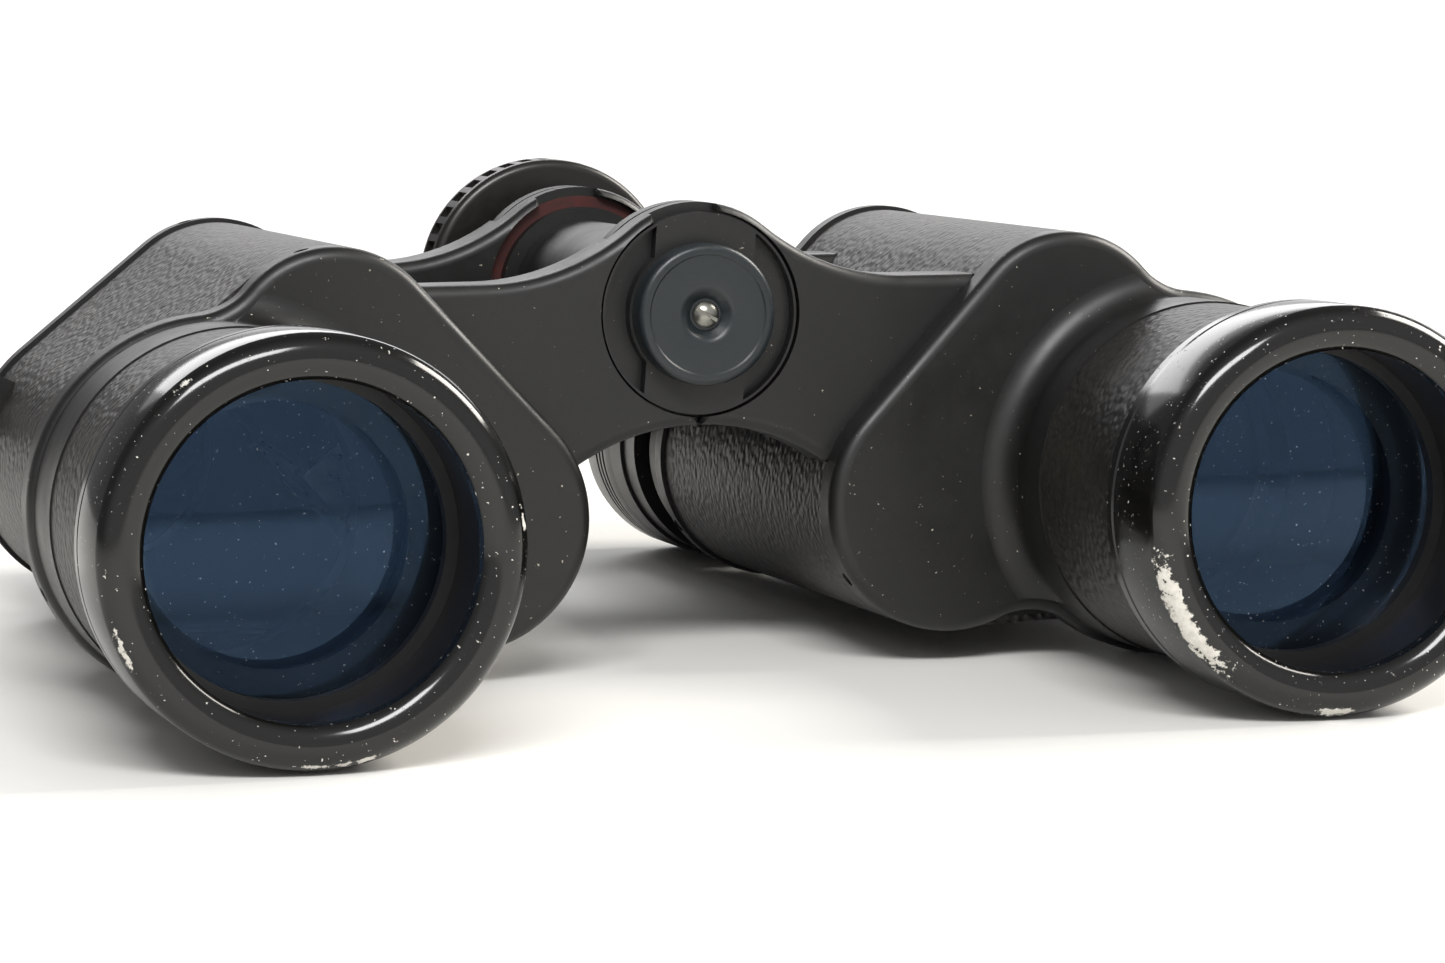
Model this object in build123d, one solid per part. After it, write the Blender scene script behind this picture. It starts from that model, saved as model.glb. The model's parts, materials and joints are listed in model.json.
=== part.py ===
from build123d import *
import math
import os

# Porro-prism binoculars with centre focus.
# X is across the pair, +Y runs from the objectives to the eyepieces, +Z is up.
# "left" and "right" are the user's own sides, so the right barrel lies at -X.
# Every one-sided piece is drawn at +X and mirrored for the right barrel.

# ---- Layout seen along the barrels -----------------------------------------
OBJECTIVE_SPACING = 112.8      # between the two objective axes
EYEPIECE_SPACING = 58.0        # between the two eyepiece axes, fully folded
EYEPIECE_DROP = 2.65           # eyepiece axis below the objective axis
HINGE_RISE = 19.75             # hinge axis above the objective axis
SHOULDER_OFFSET = (1.9, 3.2)   # housing shoulder centre from the folded light path's corner

# ---- Lengths along the barrels ---------------------------------------------
TUBE_LENGTH = 46.8             # rim face to front cover
COVER_THICKNESS = 4.2
BODY_LENGTH = 61.0             # prism housing
REAR_COVER_THICKNESS = 3.3
BRIDGE_STANDOFF = 10.7         # rear cover to focus bridge
BRIDGE_THICKNESS = 5.0
COLLAR_LENGTH = 5.0            # diopter ring and its fixed twin
EYECUP_LENGTH = 11.0

# ---- Objective end ---------------------------------------------------------
RIM_RADIUS = 22.25
RIM_LENGTH = 14.0
RIM_LIP_RADIUS = 17.5
RIM_LIP_LENGTH = 3.0
RIM_CREST_RADIUS = 19.7        # rim's foremost circle
RIM_BEAD = 2.7                 # rounding across the rim's front
RIM_REAR_ROUND = 0.7
TUBE_RADIUS = 19.4
TUBE_WALL = 1.5
TUBE_SKIN = 1.0
NECK_LENGTH = 9.3
NECK_RADIUS = 20.6
NECK_FLARE = 3.4
LENS_RECESS = 14.8             # rim face to the crown lens's edge
CROWN_EDGE = 3.2
FLINT_EDGE = 3.4
CROWN_BULGE = 1.6
CEMENT_BULGE = 1.4             # where crown and flint meet
LENS_SEAT = 1.6
LENS_SEAT_WIDTH = 4.2          # how far the seat reaches in behind the glass
RETAINER_LENGTH = 1.6
RETAINER_WIDTH = 1.3

# ---- Prism housing ---------------------------------------------------------
SHOULDER_RADIUS = 12.0
OBJECTIVE_END_RADIUS = 15.8
HOUSING_WALL = 1.8
HOUSING_ROOM = 1.2             # between the ocular and the inside of the housing
HOUSING_SKIN = 0.8
COVER_PROUD = 0.8              # front cover stands proud of the housing casting
REAR_COVER_PROUD = 1.3
COVER_COLLAR_RADIUS = 21.3     # front cover round the objective tube
COVER_BLEND = 8.5              # hollow between that round and the body of the cover
COVER_EDGE_ROUND = 1.5
REAR_EDGE_ROUND = 1.2
COVER_SPIGOT = 1.5
COVER_APERTURE = 13.4
PRISM_WIDTH = 19.6
PRISM_TIP_FLAT = 1.6
SHELF_THICKNESS = 2.0
SHELF_SHIFT = 1.5              # prism shelf behind the housing's middle
LIGHT_HOLE_RADIUS = 8.6
CLIP_WIDTH = 5.0
CLIP_GAUGE = 0.5

# ---- Hinge -----------------------------------------------------------------
KNUCKLE_RADIUS = 12.6
HINGE_RECESS_RADIUS = 11.8
AXLE_RADIUS = 5.0
FLANGE_BRIDGE = 11.8           # solid band across the flange between its two pockets
FLANGE_LEAN = 5.0
JAW_DEPTH = 2.0
KNUCKLE_LENGTH = 2.2
WASHER_GAUGE = 0.3
WASHER_RADIUS = 9.0
FIBRE_GAUGE = 0.8
SLEEVE_RADIUS = 8.6
SLEEVE_COLLAR_RADIUS = 10.2
SLEEVE_COLLAR_LENGTH = 1.6
REAR_ARM_INSET = 5.5           # rear arms in front of the housing's rear face
ARM_TOP_RISE = 3.8             # arm's flat top above the hinge axis
ARM_SWEEP = 27.0               # hollow between flat top and knuckle
ARM_FOOT = (0.8, 0.2)          # arch's foot inwards and up from the eyepiece axis, in end radii
ARM_ROUND = 1.4                # rounding of the arm's front edges
ARCH_CLEARANCE = 0.15          # arch's crown below the knuckles
JAW_TIP_LEFT = 80.0            # degrees up from the horizontal
JAW_TIP_RIGHT = 64.0
CAP_RADIUS = 8.05
CAP_PROUD = 2.8                # cap in front of the housing's front face
CAP_ROUND = 0.8
CAP_DISH = 1.2                 # depth of the dish that its screw sits in
CAP_SCREW_RADIUS = 1.5
CAP_SCREW_HEAD = 0.5           # straight side of its head
CAP_SCREW_DOME = 0.7
CAP_SCREW_TURN = 30.0          # its slot from the vertical, in degrees
SLOT_WIDTH = 0.4
SLOT_DEPTH = 0.5

# ---- Focusing ---------------------------------------------------------------
FOCUS_IN = 2.0
DIOPTER_TRAVEL = 1.2
WHEEL_RADIUS = 15.6
WHEEL_LENGTH = 6.6
WHEEL_LEAD = 1.8               # wheel's front in front of the rear cover's face
WHEEL_GROOVES = 40
WHEEL_GROOVE_RADIUS = 0.75
WHEEL_GROOVE_INSET = 1.5
WHEEL_ROUND = 1.0
SPINDLE_RADIUS = 3.0
JOURNAL_RADIUS = 2.5
HUB_RADIUS = 6.6
BRIDGE_ARM_RADIUS = 8.0
BRIDGE_RING_WALL = 3.6
END_CAP_LENGTH = 2.6
END_CAP_ROUND = 1.2

# ---- Eyepieces --------------------------------------------------------------
OCULAR_RADIUS = 11.0
OCULAR_WALL = 1.4
GUIDE_WALL = 1.5
BOSS_WALL = 1.4
BOSS_LENGTH = 6.6
BOSS_ROUND = 0.8
COLLAR_WALL = 4.0
EYECUP_WALL = 4.2              # round the ocular barrel
EYECUP_LIP = 1.8
EYECUP_SLOPE = 1.5             # length of the slope from collar to cup
EYECUP_ROUNDS = (0.9, 0.6)     # outer and inner edge of the lip
EYECUP_SEAT = 2.5
EYECUP_FLOOR = 2.3             # how far the floor reaches in over the eye lens
EYE_BORE_LENGTH = 1.6
OCULAR_LENS_EDGE = 3.0
FIELD_BULGES = (0.8, 1.4)      # front and rear
EYE_BULGES = (1.2, 0.6)

# ---- Fits and small hardware ------------------------------------------------
RUNNING_FIT = 0.05             # radial, between a shaft and its bore
GAP = 0.3                      # between pieces that move past each other
SCREW_RADIUS = 0.9
SCREW_LENGTH = 1.7
SCREW_SINK = 0.25
EDGE_SCREW_SHARE = 0.4         # of a cover's thickness, from its joint with the housing
EDGE_SCREW_ANGLES = (75.0, 215.0, -25.0)   # round the shoulder, the eyepiece and the objective
TOUCHING = 1e-4                # outline points this close are one point
LUG_RADIUS = 3.6
LUG_HOLE_RADIUS = 1.8
LUG_REACH = 3.6
LUG_THICKNESS = 2.4
LUG_ANGLE = 25.0
LUG_INSET = 9.0

# ---- Places worked out from the values above --------------------------------
OBJECTIVE = (OBJECTIVE_SPACING / 2, RIM_RADIUS)
EYEPIECE = (EYEPIECE_SPACING / 2, RIM_RADIUS - EYEPIECE_DROP)
HINGE = (0.0, RIM_RADIUS + HINGE_RISE)
HALF_X = (OBJECTIVE[0] - EYEPIECE[0]) / 2
HALF_Z = (OBJECTIVE[1] - EYEPIECE[1]) / 2
CORNER = (EYEPIECE[0] + HALF_X - HALF_Z, EYEPIECE[1] + HALF_Z + HALF_X)
SHOULDER = (CORNER[0] + SHOULDER_OFFSET[0], CORNER[1] + SHOULDER_OFFSET[1])
EYEPIECE_END_RADIUS = OCULAR_RADIUS + HOUSING_ROOM + HOUSING_WALL
PRISM_SHIFT = math.hypot(HALF_X, HALF_Z) * math.sqrt(2)
PRISM_HEIGHT = (PRISM_SHIFT + PRISM_WIDTH) / 2

OVERALL_LENGTH = (TUBE_LENGTH + COVER_THICKNESS + BODY_LENGTH + REAR_COVER_THICKNESS
                  + BRIDGE_STANDOFF + BRIDGE_THICKNESS + COLLAR_LENGTH + EYECUP_LENGTH)
RIM_FACE_Y = -OVERALL_LENGTH / 2
COVER_FRONT_Y = RIM_FACE_Y + TUBE_LENGTH
BODY_FRONT_Y = COVER_FRONT_Y + COVER_THICKNESS
BODY_REAR_Y = BODY_FRONT_Y + BODY_LENGTH
REAR_FACE_Y = BODY_REAR_Y + REAR_COVER_THICKNESS
BRIDGE_FRONT_Y = REAR_FACE_Y + BRIDGE_STANDOFF
BRIDGE_REAR_Y = BRIDGE_FRONT_Y + BRIDGE_THICKNESS
EYECUP_FRONT_Y = BRIDGE_REAR_Y + COLLAR_LENGTH
EYECUP_REAR_Y = EYECUP_FRONT_Y + EYECUP_LENGTH

NECK_FRONT_Y = COVER_FRONT_Y - NECK_LENGTH
SHELF_FRONT_Y = (BODY_FRONT_Y + BODY_REAR_Y - SHELF_THICKNESS) / 2 + SHELF_SHIFT
SHELF_REAR_Y = SHELF_FRONT_Y + SHELF_THICKNESS

RIGHT_KNUCKLE = JAW_DEPTH + GAP                                   # behind an arm's front face
LEFT_KNUCKLE = RIGHT_KNUCKLE + KNUCKLE_LENGTH + WASHER_GAUGE + GAP
ARM_DEPTH = LEFT_KNUCKLE + KNUCKLE_LENGTH
FRONT_ARM_Y = BODY_FRONT_Y
REAR_ARM_Y = BODY_REAR_Y - REAR_ARM_INSET - ARM_DEPTH

WHEEL_FRONT_Y = REAR_FACE_Y - WHEEL_LEAD
WHEEL_REAR_Y = WHEEL_FRONT_Y + WHEEL_LENGTH
AXLE_TAIL_Y = WHEEL_FRONT_Y + WHEEL_LENGTH / 2
GUIDE_REAR_Y = BRIDGE_FRONT_Y - FOCUS_IN - GAP
GUIDE_RADIUS = OCULAR_RADIUS + RUNNING_FIT + GUIDE_WALL
COLLAR_RADIUS = OCULAR_RADIUS + COLLAR_WALL
OCULAR_FRONT_Y = SHELF_REAR_Y + PRISM_HEIGHT + FOCUS_IN + DIOPTER_TRAVEL + 2 * GAP
OCULAR_REAR_Y = EYECUP_FRONT_Y + EYECUP_SEAT
TUBE_BORE = TUBE_RADIUS - TUBE_WALL


# ---- Drawing helpers --------------------------------------------------------
def belt(rounds):
    """Face inside a belt laid round circles, each (centre, radius), in counter-clockwise order.

    A negative radius is a hollow: the belt passes between it and its neighbours.
    """
    normals = []
    for (here, r_here), (there, r_there) in zip(rounds, rounds[1:] + rounds[:1]):
        dx = there[0] - here[0]
        dz = there[1] - here[1]
        spread = (r_here - r_there) / math.hypot(dx, dz)
        normals.append(math.atan2(dz, dx) - math.acos(max(-1.0, min(1.0, spread))))
    arcs = []
    for index, (centre, radius) in enumerate(rounds):
        start = normals[index - 1]
        turn = (normals[index] - start) % math.tau
        if radius < 0:
            turn -= math.tau
        points = [(centre[0] + radius * math.cos(start + turn * share),
                   centre[1] + radius * math.sin(start + turn * share)) for share in (0, 0.5, 1)]
        arcs.append(points)
    edges = []
    for before, points in zip(arcs[-1:] + arcs[:-1], arcs):
        if math.dist(before[2], points[0]) > TOUCHING:
            edges.append(Line(before[2], points[0]))
        else:
            points[0] = before[2]
        edges.append(ThreePointArc(*points))
    return make_face(edges)


def disc(centre, radius):
    """Round face drawn in the across-and-up plane."""
    return Pos(*centre) * Circle(radius)


def slab(face, start_y, end_y):
    """Face drawn across-and-up, made solid from start_y to end_y."""
    return extrude(Plane.XZ.offset(-start_y) * face, end_y - start_y, dir=(0, 1, 0))


def rod(centre, radius, start_y, end_y):
    """Round bar along Y."""
    return slab(disc(centre, radius), start_y, end_y)


def ring(centre, outer, inner, start_y, end_y):
    """Plain round tube along Y."""
    return slab(disc(centre, outer) - disc(centre, inner), start_y, end_y)


def turned(profile, centre, rounds=()):
    """Solid turned about an axis along Y from (radius, y) points; rounds are (corner number, radius)."""
    face = make_face(Polyline(*profile, close=True))
    for corner, radius in rounds:
        point = Vector(*profile[corner])
        vertex = face.vertices().sort_by(lambda v: (Vector(v.X, v.Y, v.Z) - point).length)[0]
        face = fillet(vertex, radius)
    return Pos(centre[0], 0, centre[1]) * revolve(face, Axis.Y)


def lens(centre, radius, edge_front_y, edge_rear_y, front_bulge, rear_bulge):
    """Lens along Y; a bulge of 0 is a flat face and a negative one is a hollow."""
    def surface(edge_y, pole_y):
        if edge_y == pole_y:
            return Line((0, edge_y), (radius, edge_y))
        whole = ThreePointArc((-radius, edge_y), (0, pole_y), (radius, edge_y))
        return whole.trim(0.5, 1)
    front = surface(edge_front_y, edge_front_y - front_bulge)
    rear = surface(edge_rear_y, edge_rear_y + rear_bulge)
    face = make_face([front, Line(front @ 1, rear @ 1), rear, Line(rear @ 0, front @ 0)])
    return Pos(centre[0], 0, centre[1]) * revolve(face, Axis.Y)


def left_half():
    """The drawing plane's +X half, short of the middle by half a gap."""
    return Pos(OBJECTIVE[0] + GAP / 2, HINGE[1]) * Rectangle(2 * OBJECTIVE[0], 2 * OBJECTIVE[0])


def on_side(solid, side):
    """The piece as drawn for the left barrel, or mirrored for the right one."""
    return solid if side == "left" else mirror(solid, about=Plane.YZ)


# ---- Outlines ---------------------------------------------------------------
def housing_outline(grow=0.0):
    """Casting's outline round the eyepiece axis, the objective axis and the shoulder."""
    return belt([(EYEPIECE, EYEPIECE_END_RADIUS + grow),
                 (OBJECTIVE, OBJECTIVE_END_RADIUS + grow),
                 (SHOULDER, SHOULDER_RADIUS + grow)])


def hollow_centre(first, first_radius, second, second_radius):
    """Centre of a hollow that touches two rounds from outside, to the right of first to second."""
    reach_first = first_radius + COVER_BLEND
    reach_second = second_radius + COVER_BLEND
    span = math.dist(first, second)
    along = (reach_first ** 2 - reach_second ** 2 + span ** 2) / (2 * span)
    aside = math.sqrt(reach_first ** 2 - along ** 2)
    ux = (second[0] - first[0]) / span
    uz = (second[1] - first[1]) / span
    return (first[0] + along * ux + aside * uz, first[1] + along * uz - aside * ux)


def cover_outline(grow=0.0):
    """Front cover's outline: the body of the cover and the round of the objective neck."""
    eye_radius = EYEPIECE_END_RADIUS + COVER_PROUD
    shoulder_radius = SHOULDER_RADIUS + COVER_PROUD
    low = hollow_centre(EYEPIECE, eye_radius, OBJECTIVE, COVER_COLLAR_RADIUS)
    high = hollow_centre(OBJECTIVE, COVER_COLLAR_RADIUS, SHOULDER, shoulder_radius)
    return belt([(EYEPIECE, eye_radius + grow),
                 (low, grow - COVER_BLEND),
                 (OBJECTIVE, COVER_COLLAR_RADIUS + grow),
                 (high, grow - COVER_BLEND),
                 (SHOULDER, shoulder_radius + grow)])


def arm_outline():
    """Hinge arm from the hinge axis into the housing, flat on top with an arch below."""
    top = HINGE[1] + ARM_TOP_RISE
    arch = HINGE[1] - KNUCKLE_RADIUS - ARCH_CLEARANCE
    reach = KNUCKLE_RADIUS + ARM_SWEEP
    rise = ARM_TOP_RISE + ARM_SWEEP
    sweep_x = math.sqrt(reach ** 2 - rise ** 2)
    share = KNUCKLE_RADIUS / reach
    meet = (sweep_x * share, HINGE[1] + rise * share)
    lean = (math.atan2(rise, sweep_x) + math.pi / 2) / 2
    middle = (sweep_x - ARM_SWEEP * math.cos(lean), top + ARM_SWEEP * (1 - math.sin(lean)))
    foot = (EYEPIECE[0] - ARM_FOOT[0] * EYEPIECE_END_RADIUS, EYEPIECE[1] + ARM_FOOT[1] * EYEPIECE_END_RADIUS)
    drop = arch - foot[1]
    arch_radius = (foot[0] ** 2 + drop ** 2) / (2 * drop)
    half_turn = math.asin(foot[0] / arch_radius) / 2
    crown = (arch_radius * math.sin(half_turn), arch - arch_radius * (1 - math.cos(half_turn)))
    end_x = max(SHOULDER[0] - SHOULDER_RADIUS / 2, sweep_x + GAP)
    corners = [foot, (end_x, foot[1]), (end_x, top), (sweep_x, top)]
    return make_face([Polyline(*corners), ThreePointArc((sweep_x, top), middle, meet),
                      Polyline(meet, (0, meet[1]), (0, arch)), ThreePointArc((0, arch), crown, foot)])


# ---- Hinge pieces -----------------------------------------------------------
def arm_face(tip_angle):
    """Front of an arm: its outline and a lip round the hinge that ends short of the opposite lip."""
    width = 2 * KNUCKLE_RADIUS
    tip = math.radians(tip_angle)
    beyond = make_face(Polyline(HINGE, (width * math.cos(tip), HINGE[1] + width * math.sin(tip)),
                                (0, HINGE[1] + width), close=True))
    return (arm_outline() + disc(HINGE, KNUCKLE_RADIUS)) & left_half() - beyond


def arm(front_y, knuckle, lip_depth, tip_angle):
    """Arm with rounded front edges, its lip and its knuckle; the other arm's knuckle runs in the space left."""
    block = slab(arm_face(tip_angle), front_y, front_y + ARM_DEPTH)
    rim = block.faces().sort_by(Axis.Y)[0].outer_wire().edges()
    block = fillet(rim, ARM_ROUND)
    block -= rod(HINGE, HINGE_RECESS_RADIUS, front_y, front_y + lip_depth)
    block -= rod(HINGE, KNUCKLE_RADIUS + GAP, front_y + lip_depth, front_y + ARM_DEPTH)
    start_y = front_y + knuckle
    knuckle_face = (arm_outline() & left_half()) + disc(HINGE, KNUCKLE_RADIUS)
    return block + slab(knuckle_face, start_y, start_y + KNUCKLE_LENGTH)


def hinge_arms(side):
    """Front and rear arm of one barrel, their knuckles interleaved with the other barrel's."""
    if side == "right":
        shape = (RIGHT_KNUCKLE, RIGHT_KNUCKLE, JAW_TIP_RIGHT)
        bore = AXLE_RADIUS
    else:
        shape = (LEFT_KNUCKLE, JAW_DEPTH, JAW_TIP_LEFT)
        bore = AXLE_RADIUS + RUNNING_FIT
    arms = arm(FRONT_ARM_Y, *shape) + arm(REAR_ARM_Y, *shape)
    return arms - rod(HINGE, bore, BODY_FRONT_Y, BODY_REAR_Y)


def hinge_axle():
    """Hollow steel axle through all four knuckles, its tail carrying the focus wheel."""
    front_y = FRONT_ARM_Y + GAP
    axle = rod(HINGE, AXLE_RADIUS, front_y, AXLE_TAIL_Y)
    axle -= rod(HINGE, SPINDLE_RADIUS + RUNNING_FIT, FRONT_ARM_Y + ARM_DEPTH, AXLE_TAIL_Y)
    return axle - rod(HINGE, SCREW_RADIUS, front_y, FRONT_ARM_Y + ARM_DEPTH - 2 * GAP)


def hinge_sleeve():
    """Spacer tube between the front and rear arms, with a collar against the fibre washer."""
    end_y = REAR_ARM_Y + RIGHT_KNUCKLE - FIBRE_GAUGE
    tube = ring(HINGE, SLEEVE_RADIUS, AXLE_RADIUS, FRONT_ARM_Y + ARM_DEPTH + GAP, end_y)
    return tube + ring(HINGE, SLEEVE_COLLAR_RADIUS, AXLE_RADIUS, end_y - SLEEVE_COLLAR_LENGTH, end_y)


def hinge_fibre_washer():
    """Friction washer of red fibre on the front of the rear knuckles."""
    face_y = REAR_ARM_Y + RIGHT_KNUCKLE
    return ring(HINGE, HINGE_RECESS_RADIUS - GAP, AXLE_RADIUS, face_y - FIBRE_GAUGE, face_y)


def hinge_tail_sleeve():
    """Spacer tube between the rear arms and the focus wheel."""
    return ring(HINGE, SLEEVE_RADIUS, AXLE_RADIUS, REAR_ARM_Y + ARM_DEPTH + GAP, WHEEL_FRONT_Y - GAP)


def hinge_washers():
    """Thin washers between the paired knuckles."""
    starts = [arm_y + RIGHT_KNUCKLE + KNUCKLE_LENGTH for arm_y in (FRONT_ARM_Y, REAR_ARM_Y)]
    return Compound(children=[ring(HINGE, WASHER_RADIUS, AXLE_RADIUS, y, y + WASHER_GAUGE) for y in starts])


def hinge_front_flange():
    """Round flange in the front recess, with two crescent pockets beside its boss."""
    front_y = FRONT_ARM_Y + GAP
    rear_y = FRONT_ARM_Y + RIGHT_KNUCKLE
    outer = HINGE_RECESS_RADIUS - GAP
    flange = ring(HINGE, outer, AXLE_RADIUS, front_y, rear_y)
    pocket = disc(HINGE, outer - GAP) - disc(HINGE, CAP_RADIUS + GAP)
    bridge = Pos(*HINGE) * Rot(0, 0, -FLANGE_LEAN) * Rectangle(FLANGE_BRIDGE, 3 * outer)
    return flange - slab(pocket - bridge, front_y, rear_y - GAP)


def hinge_cap():
    """Cover disc screwed on the axle's front end, with a dished centre for its screw."""
    front_y = FRONT_ARM_Y - CAP_PROUD
    rear_y = FRONT_ARM_Y + GAP
    seat_y = front_y + CAP_DISH
    profile = [(SCREW_RADIUS, rear_y), (SCREW_RADIUS, seat_y), (CAP_SCREW_RADIUS + GAP, seat_y),
               (2 * CAP_SCREW_RADIUS, front_y), (CAP_RADIUS, front_y), (CAP_RADIUS, rear_y)]
    return turned(profile, HINGE, [(4, CAP_ROUND)])


def hinge_cap_screw():
    """Slotted round-head screw in the middle of the cap."""
    seat_y = FRONT_ARM_Y - CAP_PROUD + CAP_DISH
    end_y = FRONT_ARM_Y + ARM_DEPTH - 3 * GAP
    head = lens(HINGE, CAP_SCREW_RADIUS, seat_y - CAP_SCREW_HEAD, seat_y, CAP_SCREW_DOME, 0)
    slot = Rot(0, CAP_SCREW_TURN, 0) * Box(4 * CAP_SCREW_RADIUS, CAP_DISH, SLOT_WIDTH)
    head -= Pos(HINGE[0], seat_y - CAP_DISH, HINGE[1]) * slot
    return head + rod(HINGE, SCREW_RADIUS, seat_y, end_y)


# ---- Barrel pieces ----------------------------------------------------------
def prism_housing(side):
    """Cast housing, open at both ends, with both hinge arms."""
    body = slab(housing_outline(), BODY_FRONT_Y, BODY_REAR_Y) + hinge_arms(side)
    return body - slab(housing_outline(-HOUSING_WALL), BODY_FRONT_Y, BODY_REAR_Y)


def housing_leatherette():
    """Skin round the casting, cut out round the arms and the strap lug."""
    skin = slab(housing_outline(HOUSING_SKIN) - housing_outline(), BODY_FRONT_Y, BODY_REAR_Y)
    for arm_y in (FRONT_ARM_Y, REAR_ARM_Y):
        skin -= slab(arm_outline(), arm_y, arm_y + ARM_DEPTH)
    return skin - strap_lug()


def strap_lug():
    """Pierced ear for the neck strap on the housing's outer side."""
    angle = math.radians(LUG_ANGLE)
    places = [(OBJECTIVE[0] + reach * math.cos(angle), OBJECTIVE[1] + reach * math.sin(angle))
              for reach in (OBJECTIVE_END_RADIUS - LUG_RADIUS, OBJECTIVE_END_RADIUS + LUG_REACH)]
    ear = belt([(place, LUG_RADIUS) for place in places]) - housing_outline()
    ear -= disc(places[1], LUG_HOLE_RADIUS)
    start_y = BODY_REAR_Y - LUG_INSET
    return slab(ear, start_y, start_y + LUG_THICKNESS)


def edge_screw_places(radii, y):
    """Screw planes on a cover's edge: top of the shoulder, inner low side and outer side."""
    planes = []
    for centre, radius, degrees in zip((SHOULDER, EYEPIECE, OBJECTIVE), radii, EDGE_SCREW_ANGLES):
        angle = math.radians(degrees)
        out = Vector(math.cos(angle), 0, math.sin(angle))
        head = Vector(centre[0], y, centre[1]) + out * (radius - SCREW_SINK)
        planes.append(Plane(origin=head, x_dir=(0, 1, 0), z_dir=out))
    return planes


def edge_screws(planes):
    """Slotted grub screws let into a cover's edge."""
    screws = []
    for plane in planes:
        body = extrude(plane * Circle(SCREW_RADIUS), -SCREW_LENGTH)
        screws.append(body - plane * Box(SLOT_WIDTH, 3 * SCREW_RADIUS, 2 * SLOT_DEPTH))
    return Compound(children=screws)


def edge_screw_holes(planes):
    """Holes for those screws, open to the outside."""
    depth = SCREW_LENGTH + SCREW_SINK + COVER_PROUD
    return [extrude(plane.offset(-SCREW_LENGTH) * Circle(SCREW_RADIUS), depth) for plane in planes]


def front_screw_places():
    """Edge screws of the front cover."""
    radii = (SHOULDER_RADIUS + COVER_PROUD, EYEPIECE_END_RADIUS + COVER_PROUD, COVER_COLLAR_RADIUS)
    return edge_screw_places(radii, BODY_FRONT_Y - COVER_THICKNESS * EDGE_SCREW_SHARE)


def rear_screw_places():
    """Edge screws of the rear cover."""
    radii = [radius + REAR_COVER_PROUD for radius in (SHOULDER_RADIUS, EYEPIECE_END_RADIUS, OBJECTIVE_END_RADIUS)]
    return edge_screw_places(radii, BODY_REAR_Y + REAR_COVER_THICKNESS * EDGE_SCREW_SHARE)


def cover_spigot(start_y, end_y):
    """Lip of a cover that locates inside the housing's wall."""
    return slab(housing_outline(-HOUSING_WALL) - housing_outline(-2 * HOUSING_WALL), start_y, end_y)


def front_cover():
    """Front cover plate with rolled edge and the neck that takes the objective tube."""
    plate = slab(cover_outline(), COVER_FRONT_Y, BODY_FRONT_Y)
    rim = plate.faces().sort_by(Axis.Y)[0].outer_wire().edges()
    plate = fillet(rim, COVER_EDGE_ROUND)
    neck = rod(OBJECTIVE, NECK_RADIUS, NECK_FRONT_Y, BODY_FRONT_Y)
    flare_y = COVER_FRONT_Y - NECK_FLARE
    foot = [(0, COVER_FRONT_Y), (NECK_RADIUS + NECK_FLARE, COVER_FRONT_Y), (NECK_RADIUS, flare_y), (0, flare_y)]
    inset = NECK_FLARE * (1 - math.sqrt(0.5))
    hollow = ThreePointArc(foot[1], (NECK_RADIUS + inset, COVER_FRONT_Y - inset), foot[2])
    flare_face = make_face([Line(foot[0], foot[1]), hollow, Line(foot[2], foot[3]), Line(foot[3], foot[0])])
    flare = Pos(OBJECTIVE[0], 0, OBJECTIVE[1]) * revolve(flare_face, Axis.Y)
    flare &= slab(cover_outline(-COVER_EDGE_ROUND), flare_y, COVER_FRONT_Y)
    cover = plate + neck + flare + cover_spigot(BODY_FRONT_Y, BODY_FRONT_Y + COVER_SPIGOT)
    cover -= rod(OBJECTIVE, TUBE_RADIUS, NECK_FRONT_Y, COVER_FRONT_Y)
    cover -= rod(OBJECTIVE, COVER_APERTURE, COVER_FRONT_Y, BODY_FRONT_Y)
    for hole in edge_screw_holes(front_screw_places()):
        cover -= hole
    return cover


def rear_cover():
    """Rear cover plate with rolled edge and the boss that takes the eyepiece guide tube."""
    plate = slab(housing_outline(REAR_COVER_PROUD), BODY_REAR_Y, REAR_FACE_Y)
    rim = plate.faces().sort_by(Axis.Y)[-1].outer_wire().edges()
    plate = fillet(rim, REAR_EDGE_ROUND)
    radius = GUIDE_RADIUS + BOSS_WALL
    boss = turned([(0, BODY_REAR_Y), (radius, BODY_REAR_Y), (radius, REAR_FACE_Y + BOSS_LENGTH),
                   (0, REAR_FACE_Y + BOSS_LENGTH)], EYEPIECE, [(2, BOSS_ROUND)])
    cover = plate + boss + cover_spigot(BODY_REAR_Y - COVER_SPIGOT, BODY_REAR_Y)
    cover -= rod(EYEPIECE, GUIDE_RADIUS, BODY_REAR_Y - COVER_SPIGOT, REAR_FACE_Y + BOSS_LENGTH)
    for hole in edge_screw_holes(rear_screw_places()):
        cover -= hole
    return cover


def objective_barrel():
    """Tube from the rim to the neck, with a seat behind the lenses."""
    front_y = RIM_FACE_Y + RIM_LIP_LENGTH
    seat_y = RIM_FACE_Y + LENS_RECESS + CROWN_EDGE + FLINT_EDGE
    profile = [(TUBE_BORE, front_y), (TUBE_RADIUS, front_y),
               (TUBE_RADIUS, COVER_FRONT_Y), (TUBE_BORE, COVER_FRONT_Y),
               (TUBE_BORE, seat_y + LENS_SEAT), (TUBE_BORE - LENS_SEAT_WIDTH, seat_y + LENS_SEAT),
               (TUBE_BORE - LENS_SEAT_WIDTH, seat_y), (TUBE_BORE, seat_y)]
    return turned(profile, OBJECTIVE)


def barrel_leatherette():
    """Skin round the tube between the rim and the neck."""
    return ring(OBJECTIVE, TUBE_RADIUS + TUBE_SKIN, TUBE_RADIUS, RIM_FACE_Y + RIM_LENGTH, NECK_FRONT_Y)


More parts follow.
